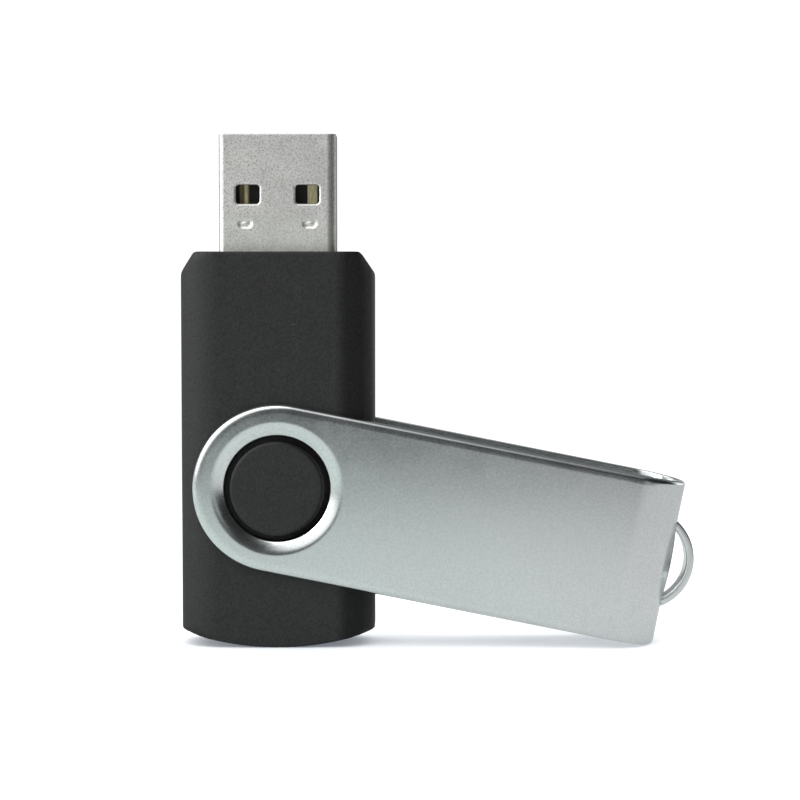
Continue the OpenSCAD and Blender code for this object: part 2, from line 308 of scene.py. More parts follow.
def end_inset(depth):
    """How far the housing's ends draw in at a depth, for the parting groove and the rounded edge."""
    past = depth - (HALF_T - END_FILLET)
    if past <= 0:
        return max(0.0, 0.1 - depth)
    return END_FILLET - math.sqrt(max(0.0, END_FILLET ** 2 - past ** 2))


def outline_radius(way, half_w, inset):
    """Distance from the swivel axis to the housing's outline, in a direction, with softened corners.

    The straight sides, the top, the chamfers and the round end each give a reach, and the least one
    counts. Only a share of the inset is taken off the chamfer.
    """
    dx, dz = way
    reaches = []
    if abs(dx) > TINY:
        reaches.append(half_w / abs(dx))
    if dz > TINY:
        reaches.append((-PIVOT.z - inset) / dz)
    norm = math.hypot(CHAMFER_X, CHAMFER_Z)
    facing = (CHAMFER_Z * abs(dx) + CHAMFER_X * dz) / norm
    if facing > TINY:
        offset = (CHAMFER_Z * (BODY_HALF_W - CHAMFER_X) - CHAMFER_X * PIVOT.z) / norm
        reaches.append((offset - CHAMFER_SHARE * inset) / facing)
    centre = BODY_BOTTOM + END_R - PIVOT.z
    along = dz * centre
    reaches.append(along + math.sqrt(along ** 2 - centre ** 2 + (END_R - inset) ** 2))
    least = min(reaches)
    return least * sum((least / r) ** CORNER_SHARPNESS for r in reaches) ** (-1 / CORNER_SHARPNESS)


def outline_directions():
    """Unit directions from the swivel axis, spread along the outline and closer at its corners."""
    low = BODY_BOTTOM + END_R - math.sqrt(END_R ** 2 - BODY_HALF_W ** 2)
    corners = [
        # x, z and the number of steps to the next corner
        (0.0, 0.0, 36), (BODY_HALF_W - CHAMFER_X, 0.0, 18), (BODY_HALF_W, -CHAMFER_Z, 90),
        (BODY_HALF_W, low, 42), (0.0, BODY_BOTTOM, 0),
    ]
    even_share = 0.35
    points = []
    for (x0, z0, steps), (x1, z1, _) in zip(corners, corners[1:]):
        for i in range(steps):
            t = i / steps
            t = even_share * t + (1 - even_share) * smoothstep(t)
            points.append((x0 + (x1 - x0) * t, z0 + (z1 - z0) * t))
    points.append((0.0, BODY_BOTTOM))
    points += [(-x, z) for x, z in reversed(points[1:-1])]
    return [Vector((x, z - PIVOT.z)).normalized() for x, z in points]


def face_depth(x):
    """Depth of the housing's front surface over its flat face and shoulder."""
    past = abs(x) - FACE_HALF_W
    if past <= 0:
        return HALF_T
    return HALF_T - SHOULDER_R + math.sqrt(SHOULDER_R ** 2 - past ** 2)


def boss_levels():
    """(radius, depth) from the groove's outer wall over the boss to the middle of its cap."""
    bottom, step = 0.1, 0.06
    levels = [(GROOVE_R, GROOVE_FLOOR + bottom), (GROOVE_R - bottom, GROOVE_FLOOR)]
    levels += [(BOSS_R + bottom, GROOVE_FLOOR), (BOSS_R, GROOVE_FLOOR + bottom)]
    levels += [(BOSS_R, STEP_Y - step), (BOSS_R - step, STEP_Y), (CAP_R, STEP_Y)]
    levels += arc((CAP_R - CAP_ROUND, CAP_TOP - CAP_ROUND), CAP_ROUND, 0, 90, 7)
    return levels + [(r, CAP_TOP) for r in CAP_RINGS]


def housing_half(name, side, node):
    """One half of the housing. side is -1 for the front and 1 for the rear."""
    ways = outline_directions()
    groove_edge = GROOVE_R + GROOVE_LIP

    def ring(radii, depth_of):
        places = [(way[0] * r, r, PIVOT.z + way[1] * r) for way, r in zip(ways, radii)]
        return [(x, side * depth_of(x, r), z) for x, r, z in places]

    def circle(r, depth):
        return ring([r] * len(ways), lambda x, _: depth)

    def outline(half_w, inset, least=0.0):
        return [max(least, outline_radius(way, half_w, inset)) for way in ways]

    # the inside, from the middle of the face to the parting line
    rings = [circle(INNER_FLAT_R, HALF_T - WALL)]
    for half_w, depth in INNER_LEVELS:
        rings.append(ring(outline(half_w, WALL), lambda x, _: depth))

    # the outside, from the parting line to the face; it must not reach into the groove
    for half_w, depth in outer_levels():
        radii = outline(half_w, end_inset(depth), groove_edge)
        rings.append(ring(radii, lambda x, r: face_depth(x) if r <= groove_edge else depth))
    full = outline(FACE_HALF_W, END_FILLET, groove_edge)
    for share in (0.85, 0.6, 0.3, 0.0):
        radii = [groove_edge + (r - groove_edge) * share for r in full]
        rings.append(ring(radii, lambda x, _: face_depth(x)))
    for a in (30, 60, 90):
        r = groove_edge - GROOVE_LIP * math.sin(math.radians(a))
        drop = GROOVE_LIP * (1 - math.cos(math.radians(a)))
        rings.append(ring([r] * len(ways), lambda x, _: face_depth(x) - drop))
    rings += [circle(r, depth) for r, depth in boss_levels()]

    ob = build(name, *stitch(rings))
    play = 0.05
    opening = rounded_rect(PLUG_HALF_W + play, PLUG_HALF_T + play, PLUG_CORNER)
    boolean(ob, prism("opening", opening, -WALL - 0.4, 1.0), "DIFFERENCE")
    smooth(ob)
    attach(ob, "housing")
    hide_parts(node)
    return ob


# ---------- swivel cover ----------

# the sheet's outer edge is rounded over EDGE_IN by EDGE_DOWN, with a very slight crown before it
EDGE_IN = 0.55
EDGE_DOWN = 0.60
CROWN_IN = 0.95
CROWN_STEPS = (CROWN_IN, 0.84, 0.74, 0.64, EDGE_IN)
CROWN_DROP = 0.02
BEND_EDGE = 0.40
BEND_TAPER = 0.02
UNDER_ROUND = 0.15
# the strap's slot, and the lens-shaped facets beside it; turns are in degrees round the bend
SLOT_HALF_V = 4.2
SLOT_TURN = 15.5
FLARE_TURN = 17.5
CREASE_ROW = 33.0
STILL_ROW = 60
CREASE_FADE_V = 2
CREASE_LEAST = 0.4
EASE_TURNS = 60


def edge_profile(edge_in=EDGE_IN, edge_down=EDGE_DOWN, start=CROWN_DROP):
    """(inset, depth) round the sheet's edge, from its outer face to its inner face."""
    line = []
    for i in range(1, 9):
        a = math.radians(90 * i / 8)
        line.append((edge_in * (1 - math.sin(a)), start + (edge_down - start) * (1 - math.cos(a))))
    for x, y in arc((0, 0), UNDER_ROUND, 0, 90, 3)[:-1]:
        line.append((UNDER_ROUND - x, SHEET - UNDER_ROUND + y))
    return line


def crown(inset):
    """How far the flat plate has fallen just before its rounded edge."""
    t = max(0.0, (CROWN_IN - inset) / (CROWN_IN - EDGE_IN))
    return CROWN_DROP * t * t


def dish(r):
    """Depth of the pressed rim round the swivel hole."""
    t = max(0.0, (DISH_OUTER_R - r) / (DISH_OUTER_R - EYE_R))
    return DISH_DEPTH * (DISH_CURVED * t ** DISH_POWER + (1 - DISH_CURVED) * smoothstep(t))


def end_columns():
    """Shares of the half width across the closed end, a pair of them at the slot's ends."""
    half = COVER_HALF_W - EDGE_IN
    reach = COVER_HALF_W - CROWN_IN - 0.1
    middle = [SLOT_HALF_V * i / 12 for i in range(-12, 13)]
    outer = [SLOT_HALF_V + (reach - SLOT_HALF_V) * i / 6 for i in range(1, 7)] + [half]
    return [v / half for v in [-v for v in reversed(outer)] + middle + outer]


def cover_rays():
    """The cover's outline as functions of inset, in order round the swivel axis, closed end first."""
    rays = []
    for share in end_columns():
        rays.append(lambda q, s=share: (BEND_U, s * (COVER_HALF_W - q)))
    ends = len(rays)
    start = math.atan2(COVER_HALF_W, BEND_U)
    steps = 34
    side = [COVER_HALF_W / math.tan(start + (math.pi / 2 - start) * i / steps) for i in range(1, steps)]
    rays += [lambda q, u=u: (u, COVER_HALF_W - q) for u in side]
    for i in range(73):
        a = math.radians(90 + 2.5 * i)
        rays.append(lambda q, a=a: ((COVER_HALF_W - q) * math.cos(a), (COVER_HALF_W - q) * math.sin(a)))
    rays += [lambda q, u=u: (u, q - COVER_HALF_W) for u in reversed(side)]
    return rays, ends


def cover_plate(rays, ends, side):
    """Points and faces of one plate, as a closed band round the hole that is open at the bend."""
    angles = [math.atan2(ray(0)[1], ray(0)[0]) for ray in rays]
    y = side * COVER_HALF_T

    def circle(r, depth):
        return [(r * math.cos(a), y - side * depth, r * math.sin(a)) for a in angles]

    def blend(share, inset, depth=None):
        out = []
        for i, (ray, a) in enumerate(zip(rays, angles)):
            u, v = ray(min(inset, EDGE_IN) if 0 < i < ends - 1 else inset)
            cu, cv = JOIN_R * math.cos(a), JOIN_R * math.sin(a)
            u, v = cu + (u - cu) * share, cv + (v - cv) * share
            fall = crown(COVER_HALF_W - (abs(v) if u > 0 else math.hypot(u, v))) if depth is None else depth
            out.append((u, y - side * fall, v))
        return out

    steps = 14
    radii = [EYE_R + HOLE_LIP + (JOIN_R - EYE_R - HOLE_LIP) * i / steps for i in range(steps + 1)]
    part_lip = 0.3 * HOLE_LIP
    rings = [circle(EYE_R, dish(EYE_R) + HOLE_LIP), circle(EYE_R + part_lip, dish(EYE_R) + part_lip)]
    rings += [circle(r, dish(r)) for r in radii]
    rings += [blend(s, CROWN_IN) for s in (0.25, 0.6)]
    first_edge = len(rings)
    rings += [blend(1, q) for q in CROWN_STEPS]
    rings += [blend(1, q, h) for q, h in edge_profile()]
    rings.append(blend(1, UNDER_ROUND, SHEET))
    last_edge = len(rings) - 1
    rings += [blend(s, UNDER_ROUND, SHEET) for s in (0.7, 0.35)]
    rings += [circle(r, SHEET + dish(r)) for r in radii[::-2]]
    rings.append(circle(EYE_R, SHEET + dish(EYE_R) - HOLE_LIP))
    n = len(rays)
    points, faces = stitch(rings, cyclic=True)
    kept = []
    for f in faces:
        row, column = divmod(f[0], n)
        if first_edge <= row < last_edge and column < ends - 1:
            continue
        kept.append(f)
    return points, kept


def bend_rows():
    """Turn of each row round the bend, in degrees from the front plate to the rear plate."""
    half = [90 - 6 * i for i in range(6)] + [54, 49, 44, 39, CREASE_ROW, 28, 23, 19, SLOT_TURN]
    return [-a for a in half] + [-8, 0, 8] + list(reversed(half))


def crease_turn(v):
    """Turn at which the flat facet beside the slot begins: a lens shape along the slot."""
    return SLOT_TURN + FLARE_TURN * math.sqrt(max(0.0, 1 - (v / SLOT_HALF_V) ** 2))


def row_turn(turn, v):
    """Bends the rows beside the slot so that one of them follows the facet's crease."""
    size = abs(turn)
    if size <= SLOT_TURN or size >= STILL_ROW:
        return turn
    crease = crease_turn(v) if abs(v) < SLOT_HALF_V else SLOT_TURN
    past = max(0.0, abs(v) - SLOT_HALF_V)
    crease += (CREASE_ROW - crease) * smoothstep(past / CREASE_FADE_V)
    crease = max(crease, SLOT_TURN + CREASE_LEAST)
    if size <= CREASE_ROW:
        moved = SLOT_TURN + (crease - SLOT_TURN) * (size - SLOT_TURN) / (CREASE_ROW - SLOT_TURN)
    else:
        moved = crease + (STILL_ROW - crease) * (size - CREASE_ROW) / (STILL_ROW - CREASE_ROW)
    return math.copysign(moved, turn)


def flare(turn, v):
    """How far the sheet stands out beside the slot, where the strap has drawn it outwards."""
    crease = crease_turn(v)
    if abs(v) >= SLOT_HALF_V or abs(turn) >= crease or abs(turn) < SLOT_TURN - 0.1:
        return 0.0
    return COVER_HALF_T * (1 / math.cos(math.radians(crease - abs(turn))) - 1)


def bend_loop(eased, columns):
    """(share of the half width, inset, depth) round the sheet: outer face, edge, inner face, edge."""
    edge_in = EDGE_IN + (BEND_EDGE - EDGE_IN) * eased
    edge_down = EDGE_DOWN + (BEND_EDGE - EDGE_DOWN) * eased
    fall = 1 - eased
    edge = edge_profile(edge_in, edge_down, CROWN_DROP * fall)
    crowned = [(1.0, edge_in + q - EDGE_IN, fall * crown(q)) for q in CROWN_STEPS]
    loop = [(-1.0, q, h) for _, q, h in reversed(crowned)]
    loop += [(s, edge_in, 0.0) for s in columns[1:-1]]
    loop += crowned
    loop += [(1.0, q, h) for q, h in edge]
    loop += [(s, UNDER_ROUND, SHEET) for s in reversed(columns)]
    loop += [(-1.0, q, h) for q, h in reversed(edge)]
    return loop


def cover_bend():
    """Points and faces of the closed end's half tube, with the slot left open and walled."""
    columns = end_columns()
    rows = bend_rows()
    points = []
    for turn in rows:
        eased = smoothstep((90 - abs(turn)) / EASE_TURNS)
        loop = bend_loop(eased, columns)
        for share, q, h in loop:
            v = share * (COVER_HALF_W - BEND_TAPER * eased - q)
            at = row_turn(turn, v)
            a = math.radians(at)
            r = COVER_HALF_T - h + flare(at, v)
            points.append((BEND_U + r * math.cos(a), r * math.sin(a), v))
    n, wide, steps = len(loop), len(columns), len(CROWN_STEPS)

    # the slot lies between rows i0 and i1 and places j0 and j1; under is the place below each place
    half = COVER_HALF_W - EDGE_IN
    slot = [i for i in range(wide) if abs(columns[i] * half) < SLOT_HALF_V + TINY]
    j0, j1 = slot[0] - 1 + steps, slot[-1] - 1 + steps
    first_under = next(j for j, place in enumerate(loop) if place[2] == SHEET)
    under = {i - 1 + steps: first_under + wide - 1 - i for i in range(wide)}
    i0, i1 = rows.index(-SLOT_TURN), rows.index(SLOT_TURN)
    open_columns = set(range(j0, j1)) | {under[j + 1] for j in range(j0, j1)}
    faces = []
    for i in range(len(rows) - 1):
        for j in range(n):
            if i0 <= i < i1 and j in open_columns:
                continue
            k = (j + 1) % n
            faces.append((i * n + j, i * n + k, (i + 1) * n + k, (i + 1) * n + j))
    for a in (i0 * n, i1 * n):
        faces += [(a + j, a + j + 1, a + under[j + 1], a + under[j]) for j in range(j0, j1)]
    for a in range(i0 * n, i1 * n, n):
        faces += [(a + j, a + n + j, a + n + under[j], a + under[j]) for j in (j0, j1)]
    return points, faces


def key_strap():
    """The strap that stands out of the closed end: a rounded band swept along its arch."""
    # the strap sits a little off the middle, and its turned top stays inside the CAD's box
    mid_r = STRAP_R - SHEET / 2 - STRAP_SHIFT * math.sin(COVER_TURN) - STRAP_SLACK
    half_turn = math.acos((COVER_REACH - STRAP_SINK - STRAP_U) / mid_r)
    rise = math.degrees(half_turn)
    path = [(u, v + STRAP_SHIFT) for u, v in arc((STRAP_U, 0), mid_r, -rise, rise, 40)]

    def tail(sign):
        """The strap's root, turned back along the bend and sunk in the sheet."""
        outward = Vector((math.cos(half_turn), sign * math.sin(half_turn)))
        centre = Vector((STRAP_U, STRAP_SHIFT)) + outward * (mid_r + STRAP_ROOT_R)
        points = []
        for i in range(1, 9):
            b = half_turn * (1 - i / 8)
            points.append(tuple(centre - STRAP_ROOT_R * Vector((math.cos(b), sign * math.sin(b)))))
        last = points[-1]
        points.append((last[0] - STRAP_TAIL[0], last[1] + sign * STRAP_TAIL[1]))
        return points

    path = list(reversed(tail(-1))) + path + tail(1)
    section = rounded_rect(SHEET / 2, STRAP_HALF_W, STRAP_ROUND, 4)
    rings = []
    for i, p in enumerate(path):
        ahead = Vector(path[min(i + 1, len(path) - 1)]) - Vector(path[max(i - 1, 0)])
        ahead.normalize()
        normal = Vector((ahead[1], -ahead[0]))
        rings.append([(p[0] + normal[0] * w, d, p[1] + normal[1] * w) for w, d in section])
    return build("strap", *stitch(rings))


def mark_pressed(ob):
    """Gives the facets beside the slot the second material; ob still lies along the X axis."""
    margin = 0.3
    for f in ob.data.polygons:
        u, y, v = f.center / MM
        if u < BEND_U or abs(v) > SLOT_HALF_V:
            continue
        turn = abs(math.degrees(math.atan2(y, u - BEND_U)))
        if turn < crease_turn(v) + margin:
            f.material_index = 1


def swivel_cover(*looks):
    """The whole cover. looks are the materials of the sheet, the facets and the strap."""
    rays, ends = cover_rays()
    points, faces = [], []
    for part in (cover_plate(rays, ends, -1), cover_plate(rays, ends, 1), cover_bend()):
        start = len(points)
        points += part[0]
        faces += [tuple(start + i for i in f) for f in part[1]]
    ob = build("cover_sheet", points, faces)
    wear(ob, *looks)
    mark_pressed(ob)
    strap = key_strap()
    wear(strap, *looks)
    for f in strap.data.polygons:
        f.material_index = 2
    boolean(ob, strap, "UNION")
    place = Matrix.Translation(PIVOT * MM) @ Matrix.Rotation(COVER_TURN, 4, "Y")
    ob.data.transform(place)
    smooth(ob)
    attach(ob, "cover")
    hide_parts("swivel_cover")


# ---------- plug ----------

def tube_ring(inset, z):
    """The plug's outline, drawn in by inset, at a height."""
    outline = rounded_rect(PLUG_HALF_W - inset, PLUG_HALF_T - inset, max(0.2, PLUG_CORNER - inset))
    return [(x, y, z) for x, y in outline]


def stack_tool(name, x, z, levels):
    """A cutter along Y: (half width, half height, corner radius, y) for each level."""
    rings = []
    for half_w, half_h, r, y in levels:
        rings.append([(x + a, y, z + b) for a, b in rounded_rect(half_w, half_h, r, 8)])
    return build(name, *stitch(rings))


def window_tool(x, side):
    """Cuts a window whose rim is rounded."""
    inside, outside = 0.5, PLUG_HALF_T + 1
    steps = [(0.0, inside)]
    for i in range(7):
        a = math.radians(15 * i)
        steps.append((WINDOW_ROUND * (1 - math.cos(a)), PLUG_HALF_T - WINDOW_ROUND * (1 - math.sin(a))))
    steps.append((WINDOW_ROUND, outside))
    levels = [(WINDOW_HALF_W + g, WINDOW_HALF_H + g, WINDOW_CORNER + g, side * y) for g, y in steps]
    return stack_tool("window", x, WINDOW_Z, levels)


def dimple_tool(x, side):
    """Presses an oval dimple with a low raised middle into the shell's face."""
    almost_round = 0.98
    levels = [(w, h, h * almost_round, side * (PLUG_HALF_T - depth)) for w, h, depth in DIMPLE_LEVELS]
    return stack_tool("dimple", x, DIMPLE_Z, levels)


def seam_tool():
    """The rolled shell's joint on the rear face: a fine line with one dovetail."""
    corners = [(0, -1), (0, 4.6), (0.7, 4.6), (1.1, 6.6), (0, 6.6), (0, PLUG_TIP + 1)]
    line = [Vector(p) for p in corners]
    ways = [(b - a).normalized() for a, b in zip(line, line[1:])]
    left, right = [], []
    for i, p in enumerate(line):
        before, after = ways[max(i - 1, 0)], ways[min(i, len(ways) - 1)]
        mitre = (before + after).normalized().orthogonal()
        reach = mitre * SEAM_HALF_W / max(0.3, abs(mitre.dot(after.orthogonal())))
        left.append(tuple(p + reach))
        right.append(tuple(p - reach))
    n = len(line)
    points, faces = [], []
    for level in (PLUG_HALF_T - SEAM_DEPTH, PLUG_HALF_T + 0.5):
        points += [(x, level, z) for x, z in left] + [(x, level, z) for x, z in right]
    for i in range(n - 1):
        # the floor and the top, then the two sides
        for base, across in ((0, n), (2 * n, n), (0, 2 * n), (n, 2 * n)):
            faces.append((base + i, base + i + 1, base + across + i + 1, base + across + i))
    for i in (0, n - 1):
        faces.append((i, n + i, 3 * n + i, 2 * n + i))
    return build("seam", points, faces)


def plug_shell():
    """The rolled shell with its windows, dimples and seam."""
    tip = PLUG_TIP_ROUND
    rings = [tube_ring(0, PLUG_TAIL)]
    rings += [tube_ring(tip - x, PLUG_TIP - tip + z) for x, z in arc((0, 0), tip, 0, 90, 3)]
    rings += [tube_ring(PLUG_SHEET, PLUG_TIP - 0.02), tube_ring(PLUG_SHEET, PLUG_TAIL)]
    ob = build("plug_metal", *stitch(rings, cyclic=True))
    for side in (-1, 1):
        for x in (-WINDOW_X, WINDOW_X):
            boolean(ob, window_tool(x, side), "DIFFERENCE")
        for x in (-DIMPLE_X, DIMPLE_X):
            boolean(ob, dimple_tool(x, side), "DIFFERENCE")
    boolean(ob, seam_tool(), "DIFFERENCE")
    smooth(ob, flats=True)
    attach(ob, "housing")
    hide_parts("plug_shell")
    return ob


# ---------- materials ----------

class Nodes:
    """Short calls for building a node tree."""

    def __init__(self, tree):
        self.tree = tree

    def feed(self, socket, value):
        """Links an output to a socket, or sets the socket to a plain value."""
        if isinstance(value, bpy.types.NodeSocket):
            self.tree.links.new(value, socket)
        else:
            socket.default_value = value

    def node(self, kind, inputs=None, **settings):
        n = self.tree.nodes.new(kind)
        for key, value in settings.items():
            setattr(n, key, value)
        for key, value in (inputs or {}).items():
            self.feed(n.inputs[key], value)
        return n

    def math(self, operation, a, b=0.0):
        return self.node("ShaderNodeMath", {0: a, 1: b}, operation=operation).outputs[0]

    def away(self, value, centre):
        """How far a value is from a centre, on either side."""
        return self.math("ABSOLUTE", self.math("SUBTRACT", value, centre))

    def spread(self, value, low, high, start=0.3, end=0.7, kind="LINEAR"):
        """Maps a value from start..end to low..high. A noise mostly stays between 0.3 and 0.7."""
        inputs = {"Value": value, "From Min": start, "From Max": end, "To Min": low, "To Max": high}
        return self.node("ShaderNodeMapRange", inputs, interpolation_type=kind).outputs[0]

    def blend(self, share, a, b):
        """A number between a and b; a share of 1 gives b."""
        return self.node("ShaderNodeMix", {0: share, 2: a, 3: b}, data_type="FLOAT").outputs[0]

    def mix(self, share, a, b):
        """A colour between a and b; a share of 1 gives b."""
        n = self.node("ShaderNodeMix", {0: share}, data_type="RGBA")
        for socket, value in ((n.inputs[6], a), (n.inputs[7], b)):
            self.feed(socket, (*value, 1) if isinstance(value, tuple) else value)
        return n.outputs[2]

    def choose(self, share, a, b):
        """A shader between a and b; a share of 1 gives b."""
        return self.node("ShaderNodeMixShader", {0: share, 1: a, 2: b}).outputs[0]

    def scaled(self, colour, level):
        return self.node("ShaderNodeVectorMath", {0: colour, "Scale": level}, operation="SCALE").outputs[0]

    def split(self, vector):
        """The outputs X, Y and Z of a vector."""
        return self.node("ShaderNodeSeparateXYZ", {"Vector": vector}).outputs


class Look(Nodes):
    """A new material, with the calls that only a material needs."""

    def __init__(self, name):
        self.material = bpy.data.materials.new(name)
        self.material.use_nodes = True
        super().__init__(self.material.node_tree)
        self.shader = self.tree.nodes["Principled BSDF"]
        coordinates = self.node("ShaderNodeTexCoord").outputs
        self.place = coordinates["Object"]
        self.facing = coordinates["Normal"]

    def noise(self, size_mm, detail, roughness, stretch=(1, 1, 1)):
        """Fractal noise whose features are about size_mm across."""
        vector = self.node("ShaderNodeMapping", {"Vector": self.place, "Scale": stretch}).outputs[0]
        inputs = {"Vector": vector, "Scale": 1 / (size_mm * MM), "Detail": detail, "Roughness": roughness}
        return self.node("ShaderNodeTexNoise", inputs).outputs["Fac"]

    def bump(self, height, strength, distance_mm):
        inputs = {"Height": height, "Strength": strength, "Distance": distance_mm * MM}
        return self.node("ShaderNodeBump", inputs).outputs[0]

    def finished(self, **inputs):
        """Feeds the shader and returns the material."""
        names = {"color": "Base Color", "metallic": "Metallic", "roughness": "Roughness",
                 "normal": "Normal", "specular": "Specular IOR Level"}
        for key, value in inputs.items():
            self.feed(self.shader.inputs[names[key]], value)
        return self.material


def black_plastic():
    """Matt moulded plastic with a fine grain and a few specks of dust, with painted shade on its rounded
    right shoulder and painted light on its right side.
    """
    n = Look("black_plastic")
    grain = n.noise(0.20, 3, 0.65)
    coarse = n.noise(1.4, 2, 0.5)
    cells = n.node("ShaderNodeTexVoronoi", {"Vector": n.place, "Scale": 1 / (2.6 * MM)}).outputs["Distance"]
    dust = n.spread(cells, 0.25, 0.0, 0.02, 0.035)

    # painted shade: where the normal turns right past the face, over the rounded right shoulder, colour and
    # specular are darkened; where it faces right, on the side, they get painted light
    to_right = n.split(n.facing)["X"]
    past_face = n.spread(to_right, 0.0, 1.0, 0.0, 0.22)
    before_side = n.spread(to_right, 1.0, 0.0, 0.50, 0.68)
    painted_shoulder_shade = n.math("MULTIPLY", n.math("MULTIPLY", past_face, before_side), 0.46)
    painted_side_light = n.spread(to_right, 0.0, 0.5, 0.75, 0.95)
    painted_light_and_shade = n.math("ADD", n.math("SUBTRACT", 1.0, painted_shoulder_shade), painted_side_light)

    shades = n.spread(n.blend(0.85, coarse, grain), 0.0, 1.0)
    tone = n.scaled(n.mix(shades, (0.0110, 0.0109, 0.0109), (0.0222, 0.0219, 0.0217)), painted_light_and_shade)
    return n.finished(
        color=n.mix(dust, tone, (0.25, 0.24, 0.23)),
        roughness=n.spread(grain, 0.50, 0.62),
        normal=n.bump(grain, 0.6, 0.02),
        specular=n.math("MULTIPLY", n.spread(grain, 0.30, 0.42), painted_light_and_shade),
    )


def satin_metal(name, painted_light_level, smoothest, bump):
    """The cover's satin finish; the metal that the press has stretched is rougher. The colour is scaled by
    the given level, which paints shade below 1 and light above 1.
    """
    n = Look(name)
    grain = n.noise(0.20, 3, 0.65)
    cloud = n.noise(3.2, 3, 0.5)
    dark = tuple(painted_light_level * c for c in (0.725, 0.75, 0.75))
    light = tuple(painted_light_level * c for c in (0.905, 0.93, 0.93))
    shades = n.spread(n.blend(0.25, grain, cloud), 0.0, 1.0, 0.34, 0.66)
    return n.finished(
        color=n.mix(shades, dark, light),
        metallic=1.0,
        roughness=n.spread(n.blend(0.5, grain, cloud), smoothest, smoothest + 0.08),
        normal=n.bump(grain, bump, 0.01),
    )


def plug_metal():
    """Plated sheet: mottled, paler near the housing, with a painted dark reflection along its right corner
    and on its faces where they turn away.
    """
    n = Look("plug_metal_look")
    mottle = n.noise(0.17, 3, 0.65)
    cloud = n.noise(2.5, 2, 0.5)
    at = n.split(n.place)
    near_housing = n.spread(at["Z"], 1.0, 0.0, 0.0, 6.0 * MM)
    light = n.mix(near_housing, (0.975, 0.95, 0.92), (1.0, 1.0, 0.95))
    dark = n.mix(near_housing, (0.47, 0.455, 0.43), (0.68, 0.665, 0.61))
    tone = n.mix(n.spread(mottle, 0.0, 1.0, 0.28, 0.56), dark, light)

    # painted dark reflection in a band along the right corner
    painted_dark_band = n.spread(n.away(at["X"], PAINTED_DARK_BAND_X * MM), 0.42, 1.0, 0.12 * MM, 0.42 * MM)
    # painted dark reflection where the faces turn away from the view, darker towards grazing
    turned_away = n.node("ShaderNodeLayerWeight", {"Blend": 0.5}).outputs["Facing"]
    edge = n.spread(turned_away, 1.0, 0.35, 0.30, 0.75)
    return n.finished(
        color=n.scaled(tone, n.math("MULTIPLY", edge, painted_dark_band)),
        metallic=0.95,
        roughness=n.spread(cloud, 0.46, 0.54),
        normal=n.bump(mottle, 0.25, 0.02),
    )


def gold_contacts():
    """Gold over nickel: the left contact in painted shade but for a painted lit line, the others painted lit
    all over.
    """
    n = Look("gold_look")
    streak = n.noise(0.22, 3, 0.6, stretch=(1, 1, 0.25))
    at = n.split(n.place)["X"]
    # painted light: a lit line along the left contact and all over the others; the dark gold tone is painted
    # shade on the rest of the left contact
    line = n.spread(n.away(at, GOLD_LINE_X * MM), 1.0, 0.0, 0.10 * MM, 0.24 * MM)
    others = n.spread(at, 0.0, 1.0, -2.2 * MM, -2.0 * MM)
    painted_lit_share = n.math("MULTIPLY", n.math("MAXIMUM", line, others), n.spread(streak, 0.55, 1.0))
    return n.finished(
        color=n.mix(painted_lit_share, (0.20, 0.165, 0.085), (1.0, 0.92, 0.56)),
        metallic=0.35,
        roughness=n.spread(streak, 0.42, 0.58),
        normal=n.bump(streak, 0.1, 0.01),
    )


def plain_part(name, dark, light, size_mm, roughness, metallic=0.0):
    """A small part's finish: two tones, a fine grain and uneven gloss."""
    n = Look(name)
    grain = n.noise(size_mm, 3, 0.6)
    return n.finished(
        color=n.mix(n.spread(grain, 0.0, 1.0), dark, light),
        metallic=metallic,
        roughness=n.spread(grain, roughness - 0.06, roughness + 0.06),
        normal=n.bump(grain, 0.1, 0.01),
    )


def paint_cad_nodes():
    """Gives each CAD node that stays visible its finish, by its material slot."""
    looks = {
        "insulator_plastic": plain_part("insert_look", (0.01, 0.01, 0.011), (0.018, 0.018, 0.02), 0.3, 0.42),
        "gold_contact": gold_contacts(),
        "board_laminate": plain_part("board_look", (0.012, 0.10, 0.05), (0.02, 0.16, 0.08), 0.6, 0.32),
        "chip_mould": plain_part("mould_look", (0.014, 0.014, 0.015), (0.03, 0.03, 0.032), 0.12, 0.55),
        "chip_ceramic": plain_part("ceramic_look", (0.36, 0.27, 0.17), (0.5, 0.4, 0.27), 0.15, 0.5),
        "tin_lead": plain_part("tin_look", (0.60, 0.60, 0.62), (0.78, 0.78, 0.80), 0.2, 0.3, 1.0),
    }
    for part in frame["record"]["subparts"]:
        if part["material_slot"] in looks:
            wear(frame["nodes"][part["node"]], looks[part["material_slot"]])


# ---------- stage, in metres ----------

FLOOR_Z = CAD_BOX[0].z
PAPER_REACH = 4.0
PAPER_WHITE = 0.80
PAPER_GLOW = 0.20
MIRRORED_GLOW = 0.62
BACKDROP = 1.1
CAMERA_AT = Vector((12.53, -207.9, PIVOT.z + 19.84)) * MM
CAMERA_DOWN = 3.04
LENS = 90.29

# light on plain surfaces, at the left and the right of the horizon and of the sky
SIDE_LEFT = 1.55
SIDE_RIGHT = 0.30
ABOVE_LEFT = 1.05
ABOVE_RIGHT = 1.65

# what the metal mirrors: an even level with soft round areas (turn, off axis, radius, softness, level)
STUDIO_LEVEL = 0.80
STUDIO_AREAS = (
    (82, 130, 44, 12, 0.16),
    (180, 152, 26, 9, 0.30),
    (28, 68, 44, 9, 0.02),
    (78, 27, 22, 8, 0.03),
    (0, 0, 16, 9, 0.05),
    (138, 55, 33, 10, 1.2),
)

# square lamps (name, place, side, watts, lights plain surfaces too), all turned to one point
LAMP_TARGET = (0.016, 0, -0.015)
LAMPS = (
    ("key", (-0.42, -0.16, 0.20), 0.30, 1.3, False),
    ("back", (-0.40, 0.16, 0.40), 0.4, 0.5, True),
    ("rim", (0.42, 0.24, 0.06), 0.3, 0.12, False),
    ("front", (-0.10, -0.26, 0.52), 0.3, 0.45, True),
)


